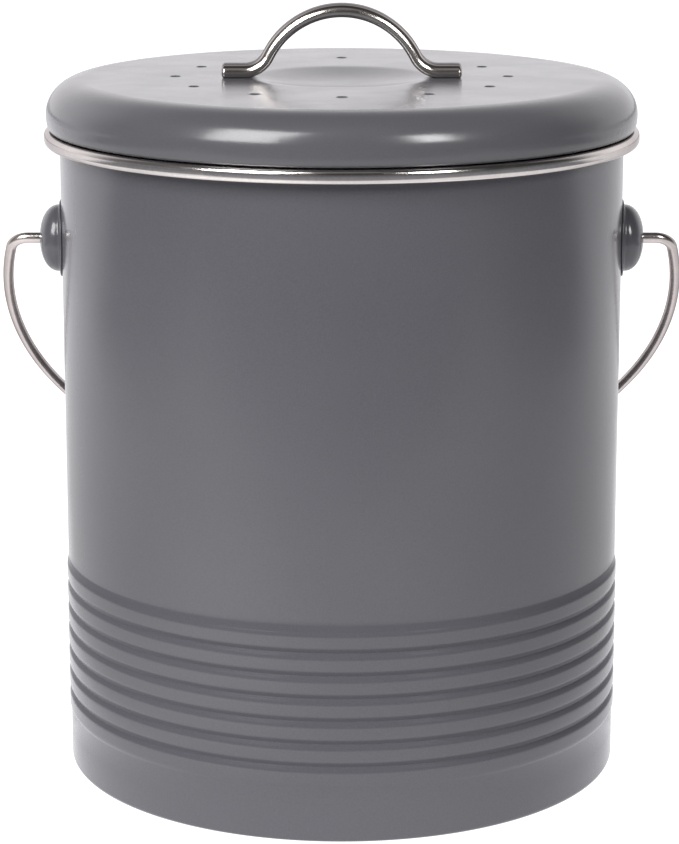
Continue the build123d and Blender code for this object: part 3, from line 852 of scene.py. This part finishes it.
def makeFloor():
    # A disc, (r cos a, r sin a, 0), whose radii grow as the square of even steps. The paper has no
    # side edges far behind the bin. It glows a little, and more in a lane that runs back from the bin
    # and spreads, far off behind and beside it, less so on the right, and in a spot at its front left.
    # This glow is painted light: it washes the bin's cast shadows off the paper, and the spot is a
    # painted pool of light.
    radius = floor["radius"] * np.linspace(floor["hubShare"], 1, floor["rings"]) ** 2
    angles = np.linspace(0, 2 * pi, floor["sides"], endpoint=False)
    material, root = startMaterial("floor_paper")
    coords = coordinates(root, "Object")
    across, y = axisOf(root, coords, "X"), axisOf(root, coords, "Y")
    x = root.maths("ABSOLUTE", across)
    soft, frontSoft = floor["soft"], floor["frontSoft"]
    front = ramp(root, y, floor["frontEdge"] - frontSoft, floor["frontEdge"] + frontSoft)
    side = 1 - ramp(root, x, floor["sideEdge"] - soft, floor["sideEdge"] + soft)
    wide = ramp(root, y, *floor["wideRange"])
    back = 1 - ramp(root, y, floor["backEdge"] - soft, floor["backEdge"] + soft)
    onPaper = front * back * root.maths("MAXIMUM", side, wide)
    colour = blendColours(root, onPaper, floor["table"], floor["paper"])
    tooth = noise(root, coords, floor["toothScale"], detail=2.0)
    # The lane is painted light that washes out the bin's cast shadows behind it
    beyond = x - y * floor["laneSpread"] - floor["laneHalf"]
    lane = ramp(root, y, *floor["laneRange"]) * (1 - ramp(root, beyond, *floor["laneSide"]))
    length = measured(root, "LENGTH", coords)
    distant = ramp(root, length, *floor["farRange"]) * ramp(root, y, *floor["farBehind"])
    distant = distant * ramp(root, across, *floor["farAcross"], 1.0, floor["farRightShare"])
    bright = root.maths("MAXIMUM", lane, distant)
    # The spot is a painted pool of light on the paper at the front left
    away = measured(root, "DISTANCE", coords, floor["spotPlace"])
    spot = 1 - ramp(root, away, floor["spotInner"], floor["spotOuter"])
    glow = blendColours(root, bright, floor["paperGlow"], floor["brightGlow"])
    glow = blendColours(root, spot, glow, floor["spotGlow"])
    glow = blendColours(root, onPaper, floor["tableGlow"], glow)
    finishMaterial(root, {"Base Color": colour, "Roughness": floor["rough"], "Emission Color": glow,
                          "Emission Strength": 1.0, "Specular IOR Level": floor["specular"],
                          "Normal": bump(root, tooth, floor["toothDepth"])})
    disc = turned(np.stack([radius, 0 * radius], -1), angles)
    facingUp = disc[:, ::-1]
    piece = addGrid("floor", facingUp, material, caps=(True, False))


# Soft boxes: degrees round from the front and up, distance, size and radiance
softBoxes = {
    "soft_box_left": dict(around=-39, up=36, distance=1.7, width=0.80, height=1.10, radiance=13.5),
    "soft_box_right": dict(around=36, up=30, distance=1.7, width=0.36, height=0.62, radiance=19.0),
}


def makeSoftBox(name, box):
    # A flat light turned towards the lid, whose power is its radiance times pi times its area
    light = bpy.data.lights.new(name, "AREA")
    light.shape = "RECTANGLE"
    light.size = box["width"]
    light.size_y = box["height"]
    light.energy = box["radiance"] * pi * box["width"] * box["height"]
    around, up = radians(box["around"]), radians(box["up"])
    aim = Vector((0, 0, lidLow.z))
    direction = Vector((sin(around) * cos(up), -cos(around) * cos(up), sin(up)))
    lamp = bpy.data.objects.new(name, light)
    lamp.location = aim + direction * box["distance"]
    lamp.rotation_euler = direction.to_track_quat("Z", "Y").to_euler()
    bpy.context.scene.collection.objects.link(lamp)


# Studio surroundings: a bright backdrop low down behind, dark above and in front, a dim horizon in
# front, a lit ceiling patch high up in front, and a faint glow from the left. A range says how far
# a direction of length 1 reaches back, up, towards the patch or left where a light starts and ends.
studio = dict(tint=(1.0, 0.98, 1.005, 1), dark=0.05, bright=1.28, backRange=(0.10, 0.62),
              heightRange=(0.33, 0.95), horizon=0.12, horizonRange=(0.05, 0.35), patch=0.18,
              patchAim=(0.0, -0.45, 0.89), patchRange=(0.94, 0.985), leftGlow=0.10, leftRange=(0.1, 0.8))


def makeWorld():
    # Strength = dark + (bright - dark) * back * low + horizon * (1 - back) * near the horizon, plus
    # the patch and the glow from the left
    world = bpy.data.worlds.new("studio")
    bpy.context.scene.world = world
    world.use_nodes = True
    world.node_tree.nodes.clear()
    root = Wire(world.node_tree)
    direction = coordinates(root, "Generated")
    across, depth, height = [axisOf(root, direction, axis) for axis in "XYZ"]
    back = ramp(root, depth, *studio["backRange"])
    low = 1 - ramp(root, height, *studio["heightRange"])
    nearHorizon = 1 - ramp(root, height, *studio["horizonRange"])
    toPatch = measured(root, "DOT_PRODUCT", direction, studio["patchAim"])
    patch = ramp(root, toPatch, *studio["patchRange"])
    left = ramp(root, 0 - across, *studio["leftRange"])
    strength = studio["dark"] + (studio["bright"] - studio["dark"]) * back * low
    strength = strength + (1 - back) * nearHorizon * studio["horizon"]
    strength = strength + patch * studio["patch"] + left * studio["leftGlow"]
    glow = root.node("ShaderNodeBackground", {}, {"Color": studio["tint"], "Strength": strength})
    out = world.node_tree.nodes.new("ShaderNodeOutputWorld")
    world.node_tree.links.new(glow.socket, out.inputs["Surface"])


# The camera stands where the photograph was taken from. It sees from the near to the far limit.
view = dict(place=(-0.0007, -0.943, 0.3364), pitch=13.42, lens=126.2, filmWidth=36.0, near=0.05, far=40)


def makeCamera():
    # It looks level along +Y, turned down by the pitch
    lens = bpy.data.cameras.new("camera")
    lens.lens = view["lens"]
    lens.sensor_width = view["filmWidth"]
    lens.clip_start = view["near"]
    lens.clip_end = view["far"]
    camera = bpy.data.objects.new("camera", lens)
    camera.location = view["place"]
    camera.rotation_euler = (radians(90 - view["pitch"]), 0, 0)
    bpy.context.scene.collection.objects.link(camera)
    bpy.context.scene.camera = camera


makeFloor()
for name, box in softBoxes.items():
    makeSoftBox(name, box)
makeWorld()
makeCamera()
bpy.context.scene.view_settings.view_transform = "Standard"

bpy.context.view_layer.update()
